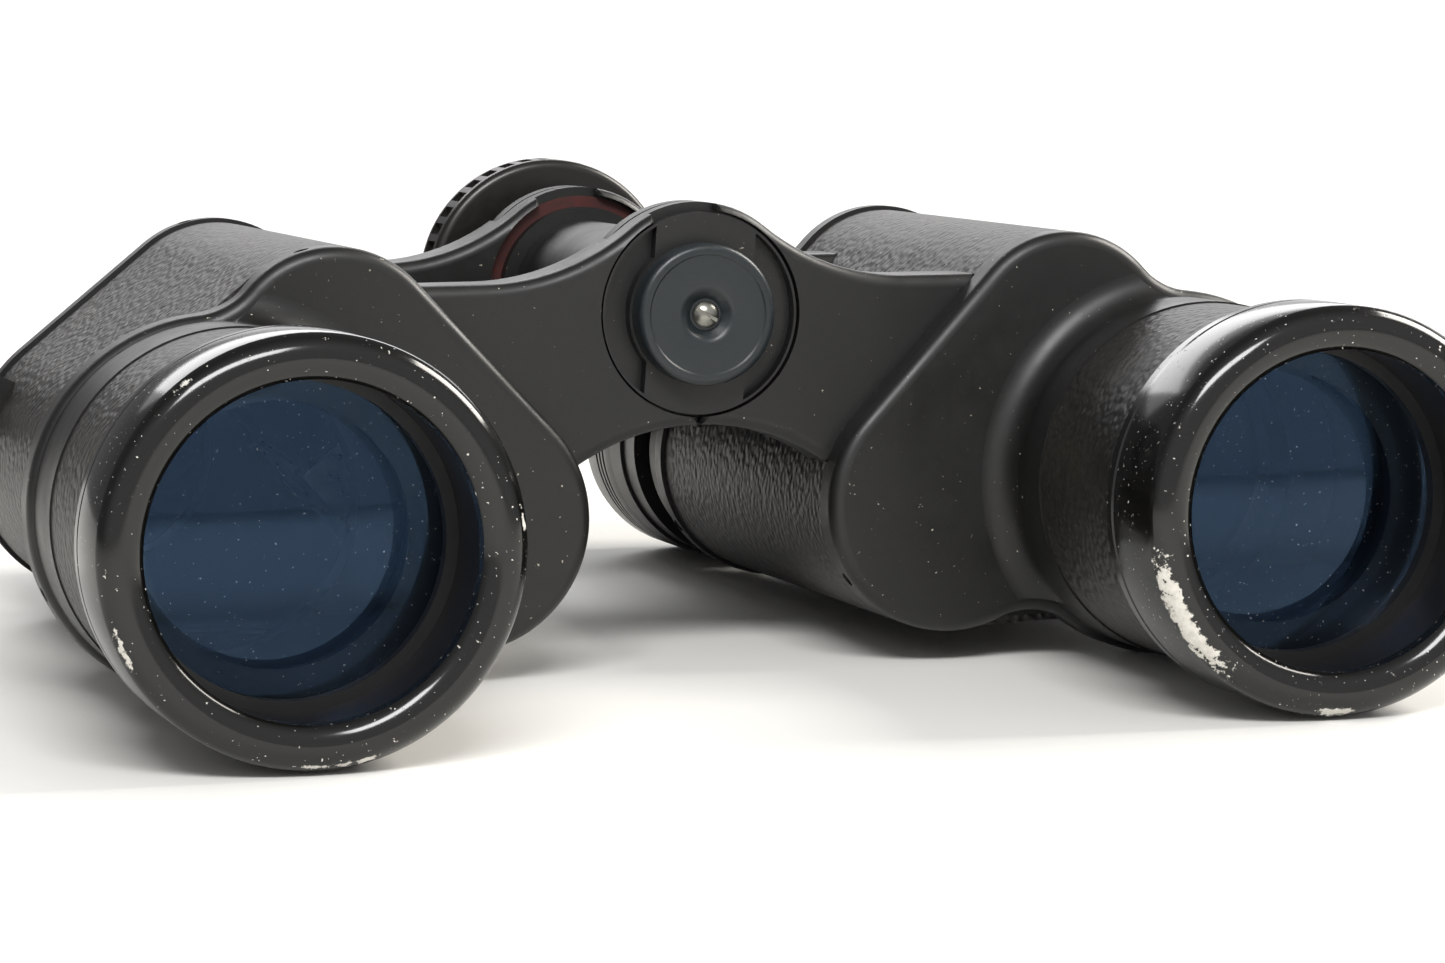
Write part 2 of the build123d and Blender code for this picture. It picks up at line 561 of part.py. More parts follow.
def objective_ring():
    """Enamelled hood ring with a beaded front edge and an inner lip over the tube's end."""
    def bead(radius):
        return RIM_FACE_Y + RIM_BEAD - math.sqrt(RIM_BEAD ** 2 - (radius - RIM_CREST_RADIUS) ** 2)
    lip_y = RIM_FACE_Y + RIM_LIP_LENGTH
    rear_y = RIM_FACE_Y + RIM_LENGTH
    inner = (RIM_LIP_RADIUS, bead(RIM_LIP_RADIUS))
    outer = (RIM_RADIUS, bead(RIM_RADIUS))
    corner = RIM_RADIUS - RIM_REAR_ROUND
    face = make_face([ThreePointArc(inner, (RIM_CREST_RADIUS, RIM_FACE_Y), outer),
                      Polyline(outer, (RIM_RADIUS, rear_y - RIM_REAR_ROUND), (corner, rear_y),
                               (TUBE_RADIUS, rear_y), (TUBE_RADIUS, lip_y), (RIM_LIP_RADIUS, lip_y), inner)])
    return Pos(OBJECTIVE[0], 0, OBJECTIVE[1]) * revolve(face, Axis.Y)


def lens_retaining_ring():
    """Threaded ring that holds the objective lenses against their seat."""
    rear_y = RIM_FACE_Y + LENS_RECESS - GAP
    return ring(OBJECTIVE, TUBE_BORE, TUBE_BORE - RETAINER_WIDTH, rear_y - RETAINER_LENGTH, rear_y)


def objective_crown_lens():
    """Front element of the achromat."""
    edge_y = RIM_FACE_Y + LENS_RECESS
    return lens(OBJECTIVE, TUBE_BORE, edge_y, edge_y + CROWN_EDGE, CROWN_BULGE, CEMENT_BULGE)


def objective_flint_lens():
    """Rear element, cemented to the crown."""
    edge_y = RIM_FACE_Y + LENS_RECESS + CROWN_EDGE
    return lens(OBJECTIVE, TUBE_BORE, edge_y, edge_y + FLINT_EDGE, -CEMENT_BULGE, 0)


def prism_shelf():
    """Plate across the housing that both prisms stand on, with a hole on each light path."""
    plate = housing_outline(-HOUSING_WALL)
    for place in (OBJECTIVE, CORNER, EYEPIECE):
        plate -= disc(place, LIGHT_HOLE_RADIUS)
    return slab(plate, SHELF_FRONT_Y, SHELF_REAR_Y)


def prism(first, second, base_y, point):
    """Right-angle prism over two light paths; point is -1 when its ridge is towards the front."""
    run = math.degrees(math.atan2(second[1] - first[1], second[0] - first[0]))
    middle = ((first[0] + second[0]) / 2, (first[1] + second[1]) / 2)
    width = PRISM_WIDTH / 2
    plan = belt([(first, width), (second, width)])
    low_y, high_y = sorted((base_y, base_y + point * PRISM_HEIGHT))
    block = slab(plan, low_y, high_y)
    flat = PRISM_TIP_FLAT / 2
    ridge_y = point * (PRISM_HEIGHT - flat)
    wedge = make_face(Polyline((-PRISM_HEIGHT, 0), (PRISM_HEIGHT, 0), (flat, ridge_y), (-flat, ridge_y),
                               close=True))
    wedge = extrude(wedge, PRISM_WIDTH, both=True)
    wedge = Pos(middle[0], base_y, middle[1]) * Rot(0, -run, 0) * wedge
    return block & wedge


def prism_clip(first, second, base_y, point):
    """Spring strap over a prism's ridge, down to the shelf on both sides."""
    run = math.degrees(math.atan2(second[1] - first[1], second[0] - first[0]))
    middle = ((first[0] + second[0]) / 2, (first[1] + second[1]) / 2)
    height = PRISM_HEIGHT - PRISM_TIP_FLAT / 2
    outer = Box(CLIP_WIDTH, height + CLIP_GAUGE, PRISM_WIDTH + 2 * CLIP_GAUGE)
    inner = Pos(0, -point * CLIP_GAUGE / 2, 0) * Box(2 * CLIP_WIDTH, height, PRISM_WIDTH)
    strap = Pos(0, point * (height + CLIP_GAUGE) / 2, 0) * (outer - inner)
    return Pos(middle[0], base_y, middle[1]) * Rot(0, -run, 0) * strap


def prism_clips():
    """Both straps of one barrel."""
    return Compound(children=[prism_clip(CORNER, EYEPIECE, SHELF_FRONT_Y, -1),
                              prism_clip(OBJECTIVE, CORNER, SHELF_REAR_Y, 1)])


# ---- Eyepieces and focusing -------------------------------------------------
def eyepiece_guide_tube():
    """Tube in the rear cover that the ocular slides in."""
    return ring(EYEPIECE, GUIDE_RADIUS, OCULAR_RADIUS + RUNNING_FIT, BODY_REAR_Y, GUIDE_REAR_Y)


def ocular_barrel():
    """Tube that holds the eyepiece lenses and carries the eyecup."""
    return ring(EYEPIECE, OCULAR_RADIUS, OCULAR_RADIUS - OCULAR_WALL, OCULAR_FRONT_Y, OCULAR_REAR_Y)


def field_lens():
    """Front lens of the eyepiece."""
    edge_y = OCULAR_FRONT_Y + OCULAR_WALL
    return lens(EYEPIECE, OCULAR_RADIUS - OCULAR_WALL, edge_y, edge_y + OCULAR_LENS_EDGE, *FIELD_BULGES)


def eye_lens():
    """Rear lens of the eyepiece, under the eyecup's floor."""
    edge_y = OCULAR_REAR_Y - 2 * GAP
    return lens(EYEPIECE, OCULAR_RADIUS - OCULAR_WALL, edge_y - OCULAR_LENS_EDGE, edge_y, *EYE_BULGES)


def eyecup():
    """Hard cup with a funnel mouth, seated on the ocular barrel's end."""
    floor_y = OCULAR_REAR_Y
    outer = OCULAR_RADIUS + EYECUP_WALL
    bore = OCULAR_RADIUS - EYECUP_FLOOR
    profile = [(OCULAR_RADIUS, EYECUP_FRONT_Y), (COLLAR_RADIUS, EYECUP_FRONT_Y),
               (outer, EYECUP_FRONT_Y + EYECUP_SLOPE), (outer, EYECUP_REAR_Y), (outer - EYECUP_LIP, EYECUP_REAR_Y),
               (bore, floor_y + EYE_BORE_LENGTH), (bore, floor_y), (OCULAR_RADIUS, floor_y)]
    return turned(profile, EYEPIECE, [(3, EYECUP_ROUNDS[0]), (4, EYECUP_ROUNDS[1])])


def bridge_arm(side):
    """Half of the focus bridge: a ring on the ocular and a hub on the spindle."""
    middle_y = (BRIDGE_FRONT_Y + BRIDGE_REAR_Y) / 2
    if side == "right":
        own = (BRIDGE_FRONT_Y, middle_y - GAP / 2)
        bore = JOURNAL_RADIUS
        ring_bore = OCULAR_RADIUS + RUNNING_FIT
    else:
        own = (middle_y + GAP / 2, BRIDGE_REAR_Y)
        bore = JOURNAL_RADIUS + RUNNING_FIT
        ring_bore = OCULAR_RADIUS
    bar = belt([(HINGE, HUB_RADIUS), (EYEPIECE, BRIDGE_ARM_RADIUS)]) & left_half()
    outline = bar + disc(EYEPIECE, OCULAR_RADIUS + BRIDGE_RING_WALL) - disc(HINGE, HUB_RADIUS + GAP)
    plate = slab(outline, BRIDGE_FRONT_Y, BRIDGE_REAR_Y) + slab(bar + disc(HINGE, HUB_RADIUS), *own)
    plate -= rod(HINGE, bore, BRIDGE_FRONT_Y, BRIDGE_REAR_Y)
    return plate - rod(EYEPIECE, ring_bore, BRIDGE_FRONT_Y, BRIDGE_REAR_Y)


def diopter_ring():
    """Turning ring of the right eyepiece, clear of the bridge by its own travel."""
    front_y = BRIDGE_REAR_Y + DIOPTER_TRAVEL + GAP
    return ring(EYEPIECE, COLLAR_RADIUS, OCULAR_RADIUS + RUNNING_FIT, front_y, EYECUP_FRONT_Y - GAP / 2)


def ocular_collar():
    """Fixed ring of the left eyepiece, in the place of the diopter ring."""
    return ring(EYEPIECE, COLLAR_RADIUS, OCULAR_RADIUS, BRIDGE_REAR_Y, EYECUP_FRONT_Y)


def focus_wheel():
    """Grooved wheel that turns on the axle's tail and drives the spindle."""
    centre_y = AXLE_TAIL_Y + GAP
    axle_bore = AXLE_RADIUS + RUNNING_FIT
    spindle_bore = SPINDLE_RADIUS + RUNNING_FIT
    profile = [(axle_bore, WHEEL_FRONT_Y), (WHEEL_RADIUS, WHEEL_FRONT_Y), (WHEEL_RADIUS, WHEEL_REAR_Y),
               (spindle_bore, WHEEL_REAR_Y), (spindle_bore, centre_y), (axle_bore, centre_y)]
    wheel = turned(profile, HINGE, [(1, WHEEL_ROUND), (2, WHEEL_ROUND)])
    grooves = []
    for number in range(WHEEL_GROOVES):
        angle = math.tau * number / WHEEL_GROOVES
        place = (HINGE[0] + WHEEL_RADIUS * math.cos(angle), HINGE[1] + WHEEL_RADIUS * math.sin(angle))
        grooves.append(rod(place, WHEEL_GROOVE_RADIUS, WHEEL_FRONT_Y + WHEEL_GROOVE_INSET,
                           WHEEL_REAR_Y - WHEEL_GROOVE_INSET))
    return wheel - grooves


def focus_spindle():
    """Screw spindle inside the axle, with a journal for the bridge hubs."""
    front_y = FRONT_ARM_Y + ARM_DEPTH + FOCUS_IN + GAP
    journal_end_y = BRIDGE_REAR_Y + END_CAP_LENGTH / 2
    journal = rod(HINGE, JOURNAL_RADIUS, BRIDGE_FRONT_Y, journal_end_y)
    return rod(HINGE, SPINDLE_RADIUS, front_y, BRIDGE_FRONT_Y) + journal


def spindle_end_cap():
    """Domed nut that keeps both hubs on the spindle."""
    front_y = BRIDGE_REAR_Y + GAP
    rear_y = BRIDGE_REAR_Y + END_CAP_LENGTH
    cap = turned([(0, front_y), (HUB_RADIUS, front_y), (HUB_RADIUS, rear_y), (0, rear_y)], HINGE, [(2, END_CAP_ROUND)])
    return cap - rod(HINGE, JOURNAL_RADIUS, front_y, BRIDGE_REAR_Y + END_CAP_LENGTH / 2)


# ---- Pieces -----------------------------------------------------------------
def paired_pieces():
    """Pieces drawn once and used on both barrels."""
    return {
        "housing_leatherette": housing_leatherette(),
        "front_cover": front_cover(),
        "front_cover_screws": edge_screws(front_screw_places()),
        "rear_cover": rear_cover(),
        "rear_cover_screws": edge_screws(rear_screw_places()),
        "strap_lug": strap_lug(),
        "objective_barrel": objective_barrel(),
        "barrel_leatherette": barrel_leatherette(),
        "objective_ring": objective_ring(),
        "lens_retaining_ring": lens_retaining_ring(),
        "objective_crown_lens": objective_crown_lens(),
        "objective_flint_lens": objective_flint_lens(),
        "prism_shelf": prism_shelf(),
        "front_prism": prism(CORNER, EYEPIECE, SHELF_FRONT_Y, -1),
        "rear_prism": prism(OBJECTIVE, CORNER, SHELF_REAR_Y, 1),
        "prism_clips": prism_clips(),
        "eyepiece_guide_tube": eyepiece_guide_tube(),
        "ocular_barrel": ocular_barrel(),
        "field_lens": field_lens(),
        "eye_lens": eye_lens(),
        "eyecup": eyecup(),
    }


def centre_pieces():
    """Pieces on the hinge axis."""
    return {
        "hinge_axle": hinge_axle(),
        "hinge_sleeve": hinge_sleeve(),
        "hinge_fibre_washer": hinge_fibre_washer(),
        "hinge_tail_sleeve": hinge_tail_sleeve(),
        "hinge_washers": hinge_washers(),
        "hinge_front_flange": hinge_front_flange(),
        "hinge_cap": hinge_cap(),
        "hinge_cap_screw": hinge_cap_screw(),
        "focus_wheel": focus_wheel(),
        "focus_spindle": focus_spindle(),
        "spindle_end_cap": spindle_end_cap(),
    }


os.makedirs("parts", exist_ok=True)
pieces = centre_pieces()
for base_name, drawn in paired_pieces().items():
    for barrel in ("left", "right"):
        pieces[f"{barrel}_{base_name}"] = on_side(drawn, barrel)
for barrel in ("left", "right"):
    pieces[f"{barrel}_prism_housing"] = on_side(prism_housing(barrel), barrel)
    pieces[f"{barrel}_focus_arm"] = on_side(bridge_arm(barrel), barrel)
pieces["diopter_ring"] = on_side(diopter_ring(), "right")
pieces["left_ocular_collar"] = on_side(ocular_collar(), "left")
for name, piece in pieces.items():
    export_step(piece, f"parts/{name}.step")
print(f"{len(pieces)} pieces, {OVERALL_LENGTH:.1f} mm long")
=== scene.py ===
# %% [markdown]
# # A worn pair of porro-prism binoculars
# The pair is a black metal and leatherette instrument on a white table. Its mechanism comes ready made from
# the CAD model, so this lesson only dresses it: rounder turned parts, glass that sheds a blue sheen,
# grained skins and paint that has chipped at the rims. The frame is loaded first, because every later piece
# is placed from it.

# %% Load the frame
import json
import math
import bmesh
import bpy
from mathutils import Euler, Matrix, Vector


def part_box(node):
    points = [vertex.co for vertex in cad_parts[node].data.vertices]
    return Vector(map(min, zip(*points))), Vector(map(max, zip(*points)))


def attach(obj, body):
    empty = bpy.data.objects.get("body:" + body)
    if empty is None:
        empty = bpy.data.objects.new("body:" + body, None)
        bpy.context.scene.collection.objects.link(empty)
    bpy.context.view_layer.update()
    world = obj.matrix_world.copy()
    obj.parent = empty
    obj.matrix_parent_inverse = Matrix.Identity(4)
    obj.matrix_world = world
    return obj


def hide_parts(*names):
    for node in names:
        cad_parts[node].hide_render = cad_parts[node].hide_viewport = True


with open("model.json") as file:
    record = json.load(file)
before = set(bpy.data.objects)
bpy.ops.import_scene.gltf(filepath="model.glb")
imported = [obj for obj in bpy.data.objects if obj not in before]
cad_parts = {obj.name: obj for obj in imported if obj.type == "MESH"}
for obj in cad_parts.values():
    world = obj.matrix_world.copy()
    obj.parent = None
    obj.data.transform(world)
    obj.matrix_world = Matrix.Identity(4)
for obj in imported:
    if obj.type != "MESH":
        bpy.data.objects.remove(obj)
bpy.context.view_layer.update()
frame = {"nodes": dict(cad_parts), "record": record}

MM = 0.001
nodes = frame["nodes"]

# %% [markdown]
# Every turned part shares one of two axes on each side: the objective axis, which the big front tubes are
# turned about, and the eyepiece axis. Reading them from the boxes of CAD pieces keeps the new pieces true
# to the frame.

# %% Axes and stations
SIDES = ("left", "right")


def middle(node):
    """Centre of a CAD piece's box, in metres."""
    low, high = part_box(node)
    return (Vector(low) + Vector(high)) / 2


def front(node):
    """Y of a CAD piece's front face."""
    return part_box(node)[0][1]


def back(node):
    """Y of a CAD piece's rear face."""
    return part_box(node)[1][1]


objective = {side: middle(f"{side}_objective_ring") for side in SIDES}
eyepiece = {side: middle(f"{side}_eyecup") for side in SIDES}
hinge = middle("hinge_cap")
rim_face = front("left_objective_ring")
print("objective axes", {side: tuple(round(v / MM, 2) for v in objective[side]) for side in SIDES})

# %% [markdown]
# The camera stands low and to one side, with a long lens, so the near rim is large but hardly distorted.
# Its roll is a few tenths of a degree, as a hand-held camera's is.

# %% Camera
CAMERA_PLACE = Vector((-0.164, -0.5434, 0.0771))
CAMERA_YAW = 0.3093
CAMERA_PITCH = 0.0990
CAMERA_ROLL = -0.005
FOCAL_LENGTH = 120.2

camera_data = bpy.data.cameras.new("camera")
camera_data.lens = FOCAL_LENGTH
camera_data.sensor_width = 36.0
camera_data.clip_start = 0.02
camera = bpy.data.objects.new("camera", camera_data)
turn = Euler((math.pi / 2 - CAMERA_PITCH, 0, -CAMERA_YAW)).to_matrix()
turn = turn @ Matrix.Rotation(CAMERA_ROLL, 3, "Z")
camera.matrix_world = Matrix.Translation(CAMERA_PLACE) @ turn.to_4x4()
bpy.context.scene.collection.objects.link(camera)
bpy.context.scene.camera = camera
print("camera looks along", tuple(round(v, 3) for v in turn @ Vector((0, 0, -1))))

# %% [markdown]
# Materials are built from nodes. One function turns a hex colour, as a colour picker gives it, into the
# linear value that a shader works in, and one adds a node with its settings and its links.

# %% Colour and node helpers


def linear(hex_code):
    """Linear RGBA of an sRGB hex colour such as '1c1b1a'."""
    channels = [int(hex_code[i:i + 2], 16) / 255 for i in (0, 2, 4)]
    return [c / 12.92 if c <= 0.04045 else ((c + 0.055) / 1.055) ** 2.4 for c in channels] + [1.0]


def add(tree, kind, sockets=None, **settings):
    """Adds a shader node; a socket is given a value, or another node's output to link from."""
    made = tree.nodes.new("ShaderNode" + kind)
    for name, value in settings.items():
        setattr(made, name, value)
    for name, value in (sockets or {}).items():
        if isinstance(value, bpy.types.NodeSocket):
            tree.links.new(value, made.inputs[name])
        else:
            made.inputs[name].default_value = value
    return made


COLOUR_A, COLOUR_B, MIXED = 6, 7, 2    # a Mix node's colour sockets, which have no names of their own


def new_material(name):
    """An empty material with its shader and its Object coordinates."""
    material = bpy.data.materials.new(name)
    material.use_nodes = True
    tree = material.node_tree
    shader = tree.nodes["Principled BSDF"]
    place = add(tree, "TexCoord").outputs["Object"]
    return material, tree, shader, place


# %% [markdown]
# The pair stands on a white studio table: the floor is matt and nearly white. The pair leans back onto its
# eyecups, so the floor is a plane through the bottoms of the rims and of the eyecups. The room is bright in
# front of the pair, dim at its sides, and has one white backdrop. A flat white room would wash the black
# enamel out, because black paint is seen almost only by what it reflects.

# %% Floor
rim_foot = Vector((0, back("left_objective_ring"), 0))
eyecup_foot = Vector((0, back("left_eyecup"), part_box("left_eyecup")[0][2]))
lean = math.atan2(eyecup_foot.z - rim_foot.z, eyecup_foot.y - rim_foot.y)
FLOOR_SIZE = 6.0
FLOOR_CLEARANCE = 0.05 * MM

floor_mesh = bpy.data.meshes.new("floor")
floor_bm = bmesh.new()
bmesh.ops.create_grid(floor_bm, x_segments=1, y_segments=1, size=FLOOR_SIZE / 2)
bmesh.ops.rotate(floor_bm, cent=(0, 0, 0), matrix=Matrix.Rotation(lean, 3, "X"), verts=floor_bm.verts)
bmesh.ops.translate(floor_bm, vec=rim_foot - Vector((0, 0, FLOOR_CLEARANCE)), verts=floor_bm.verts)
floor_bm.to_mesh(floor_mesh)
floor_bm.free()
floor = bpy.data.objects.new("floor", floor_mesh)
bpy.context.scene.collection.objects.link(floor)

floor_material, tree, shader, place = new_material("matt_white_table")
shader.inputs["Base Color"].default_value = linear("efeeea")
shader.inputs["Roughness"].default_value = 0.6
floor_mesh.materials.append(floor_material)
print("floor leans", round(math.degrees(lean), 2), "degrees")

# %% World
ROOM_SIDES = 0.2
ROOM_FRONT = 0.72
SIDES_END, FRONT_START = 0.1, -0.7     # the Y of a direction where the one ends and the other begins
BACKDROP = 1.1
BACKDROP_EDGES = (24, 14)              # degrees from its middle where it begins and where it is full
BACKDROP_WAY = Vector((math.sin(CAMERA_YAW), math.cos(CAMERA_YAW), 0))

world = bpy.data.worlds.new("studio")
bpy.context.scene.world = world
world.use_nodes = True
room = world.node_tree
way = add(room, "TexCoord").outputs["Generated"]
across = add(room, "SeparateXYZ", {"Vector": way})
ahead = add(room, "MapRange", {"Value": across.outputs["Y"], "From Min": SIDES_END, "From Max": FRONT_START,
                               "To Min": ROOM_SIDES, "To Max": ROOM_FRONT}, interpolation_type="SMOOTHSTEP")
facing = add(room, "VectorMath", {0: way, 1: BACKDROP_WAY}, operation="DOT_PRODUCT")
outer, inner = (math.cos(math.radians(edge)) for edge in BACKDROP_EDGES)
screen = add(room, "MapRange", {"Value": facing.outputs["Value"], "From Min": outer, "From Max": inner,
                                "To Min": 0.0, "To Max": BACKDROP}, interpolation_type="SMOOTHSTEP")
glow = add(room, "Math", {0: ahead.outputs["Result"], 1: screen.outputs["Result"]}, operation="MAXIMUM")
sky = room.nodes["Background"]
sky.inputs["Color"].default_value = linear("ffffff")
room.links.new(glow.outputs["Value"], sky.inputs["Strength"])
bpy.context.scene.view_settings.view_transform = "Standard"
print("room brightness", ROOM_SIDES, "at the sides and", ROOM_FRONT, "in front")

# %% [markdown]
# Four soft boxes: one high in front draws the thin bright arcs along the beads of both rims, and one above
# on the left barrel's side lights the table and throws the soft shadows towards the other side. A low one
# behind gleams along the tops of the barrels and arms, and a broad one over the far table keeps the
# background white.

# %% Lights


def soft_box(name, at, towards, width, height, power, tint="ffffff"):
    """Rectangular area light at a place, facing a point."""
    data = bpy.data.lights.new(name, "AREA")
    data.shape = "RECTANGLE"
    data.size = width
    data.size_y = height
    data.energy = power
    data.color = linear(tint)[:3]
    lamp = bpy.data.objects.new(name, data)
    aim = (Vector(towards) - Vector(at)).to_track_quat("-Z", "Y")
    lamp.matrix_world = Matrix.Translation(at) @ aim.to_matrix().to_4x4()
    bpy.context.scene.collection.objects.link(lamp)


soft_box("front_box", (-0.2, -0.62, 0.62), (0, 0, 0.02), 0.5, 0.2, 6.5)
soft_box("key_box", (0.62, 0.0, 0.5), (0, 0, 0), 0.34, 0.34, 6.5, "fffaf2")
soft_box("backdrop_box", (0.6, 1.8, 0.9), (0.6, 1.9, 0), 2.4, 1.4, 34)
soft_box("rear_box", (0.05, 0.75, 0.5), (0, 0.05, 0.03), 0.9, 0.3, 0.7)

# %% [markdown]
# ## Finishes
# The covers, casting and hinge are die-cast aluminium under satin black stove enamel, sprayed and baked. It
# gives the eye a faint orange peel, a soft gleam, dust, and tiny chips where the paint has flown off. Two
# noises make that: a fine one for the peel, and a sparse one that is cut off near its top for the chips.

# %% Satin black enamel
PEEL_SIZE = 0.7 * MM
CHIP_SIZE = 0.55 * MM
SMEAR_SIZE = 9 * MM


def chips(tree, place, size, start, end):
    """Sparse specks of that size: 1 where a noise rises from start to end."""
    grain = add(tree, "TexNoise", {"Vector": place, "Scale": 1 / size, "Detail": 2.0, "Roughness": 0.55})
    return add(tree, "MapRange", {"Value": grain.outputs["Fac"], "From Min": start, "From Max": end,
                                  "To Min": 0.0, "To Max": 1.0}).outputs["Result"]


satin, tree, shader, place = new_material("satin_black_enamel")
peel = add(tree, "TexNoise", {"Vector": place, "Scale": 1 / PEEL_SIZE, "Detail": 3.0, "Roughness": 0.6})
shade = add(tree, "ValToRGB", {"Fac": peel.outputs["Fac"]})
shade.color_ramp.elements[0].color = linear("0c0c0b")
shade.color_ramp.elements[1].color = linear("171716")
spots = chips(tree, place, CHIP_SIZE, 0.73, 0.77)
paint = add(tree, "Mix", {"Factor": spots, COLOUR_A: shade.outputs["Color"], COLOUR_B: linear("a9a294")},
            data_type="RGBA")
bump = add(tree, "Bump", {"Height": peel.outputs["Fac"], "Strength": 0.14, "Distance": 0.03 * MM})
smear = add(tree, "TexNoise", {"Vector": place, "Scale": 1 / SMEAR_SIZE, "Detail": 4.0, "Roughness": 0.6})
dull = add(tree, "MapRange", {"Value": smear.outputs["Fac"], "From Min": 0.3, "From Max": 0.7,
                              "To Min": 0.32, "To Max": 0.5})
tree.links.new(paint.outputs[MIXED], shader.inputs["Base Color"])
tree.links.new(bump.outputs["Normal"], shader.inputs["Normal"])
tree.links.new(dull.outputs["Result"], shader.inputs["Roughness"])
print("satin black enamel:", len(tree.nodes), "nodes")

# %% [markdown]
# The hood rings wear a harder, glossier enamel. They are what the pair is set down on, so the paint has
# chipped to a chalky white undercoat in patches of the outer front edge. Each side has its own material
# with its own patches: a Mapping node puts the ring's axis at zero, an arctangent gives the angle round it,
# and a ragged noise breaks up each patch's outline.

# %% Worn glossy enamel
RIM_CREST = 19.7 * MM
RIM_OUTSIDE = 22.25 * MM
RAGGED_SIZE = 1.0 * MM
SPECK_SIZE = 0.5 * MM
PATCH_CORE = 0.4                       # share of a patch's half width over which it is at its strongest
PATCH_FRONT, PATCH_BACK = 0.8, 1.6     # a patch fades between these mm behind the rim's face
PATCH_WEIGHT = 0.35
PATCH_START, PATCH_END = 0.15, 0.19    # rise over the cut-off where the paint begins to go and is gone
PATCHES = {"left": ((211, 25, 0.50, 1.0), (268, 9, 0.55, 0.7), (330, 5, 0.6, 0.5)),
           "right": ((203, 13, 0.62, 0.6), (277, 22, 0.62, 0.6), (7, 8, 0.62, 0.5), (128, 5, 0.62, 0.5))}


def worn_enamel(side):
    """Glossy black enamel, worn round a ring; a patch is (degrees, half width, cut-off, mm inwards)."""
    material, tree, shader, place = new_material(f"worn_glossy_enamel_{side}")
    axis = objective[side]
    centred = add(tree, "Mapping", {"Vector": place, "Location": (-axis.x, -rim_face, -axis.z)})
    part = add(tree, "SeparateXYZ", {"Vector": centred.outputs["Vector"]})
    flat = add(tree, "CombineXYZ", {"X": part.outputs["X"], "Z": part.outputs["Z"]})
    radius = add(tree, "VectorMath", {0: flat.outputs["Vector"]}, operation="LENGTH").outputs["Value"]
    angle = add(tree, "Math", {0: part.outputs["Z"], 1: part.outputs["X"]}, operation="ARCTAN2")
    ragged = add(tree, "TexNoise", {"Vector": place, "Scale": 1 / RAGGED_SIZE, "Detail": 6.0,
                                    "Roughness": 0.75})
    worn = chips(tree, place, SPECK_SIZE, 0.70, 0.74)
    for degrees, half, cut, spread in PATCHES[side]:
        centre = math.radians(degrees if degrees <= 180 else degrees - 360)
        off = add(tree, "Math", {0: angle.outputs["Value"], 1: centre}, operation="SUBTRACT")
        off = add(tree, "Math", {0: off.outputs["Value"]}, operation="ABSOLUTE")
        near = add(tree, "MapRange", {"Value": off.outputs["Value"], "From Min": math.radians(half),
                                      "From Max": math.radians(half) * PATCH_CORE, "To Min": 0.0,
                                      "To Max": 1.0})
        edge = add(tree, "Math", {0: radius, 1: RIM_OUTSIDE - spread * MM}, operation="SUBTRACT")
        edge = add(tree, "MapRange", {"Value": edge.outputs["Value"], "From Min": -spread * MM,
                                      "From Max": 0.0, "To Min": 0.0, "To Max": 1.0})
        depth = add(tree, "MapRange", {"Value": part.outputs["Y"], "From Min": (PATCH_BACK + spread) * MM,
                                       "From Max": PATCH_FRONT * MM, "To Min": 0.0, "To Max": 1.0})
        inside = add(tree, "Math", {0: near.outputs["Result"], 1: edge.outputs["Result"]},
                     operation="MULTIPLY")
        inside = add(tree, "Math", {0: inside.outputs["Value"], 1: depth.outputs["Result"]},
                     operation="MULTIPLY")
        raised = add(tree, "Math", {0: inside.outputs["Value"], 1: PATCH_WEIGHT, 2: ragged.outputs["Fac"]},
                     operation="MULTIPLY_ADD")
        patch = add(tree, "MapRange", {"Value": raised.outputs["Value"], "From Min": cut + PATCH_START,
                                       "From Max": cut + PATCH_END, "To Min": 0.0, "To Max": 1.0})
        both = add(tree, "Math", {0: worn, 1: patch.outputs["Result"]}, operation="MAXIMUM")
        worn = both.outputs["Value"]
    tones = add(tree, "ValToRGB", {"Fac": ragged.outputs["Fac"]})
    tones.color_ramp.elements[0].color = linear("8f8a7e")
    tones.color_ramp.elements[1].color = linear("f0ede6")
    paint = add(tree, "Mix", {"Factor": worn, COLOUR_A: linear("0d0d0c"), COLOUR_B: tones.outputs["Color"]},
                data_type="RGBA")
    rough = add(tree, "MapRange", {"Value": worn, "To Min": 0.13, "To Max": 0.65})
    chip = add(tree, "Bump", {"Height": worn, "Strength": 0.5, "Distance": 0.06 * MM}, invert=True)
    tree.links.new(paint.outputs[MIXED], shader.inputs["Base Color"])
    tree.links.new(rough.outputs["Result"], shader.inputs["Roughness"])
    tree.links.new(chip.outputs["Normal"], shader.inputs["Normal"])
    return material


gloss = {side: worn_enamel(side) for side in SIDES}
print("worn patches:", {side: len(PATCHES[side]) for side in SIDES})
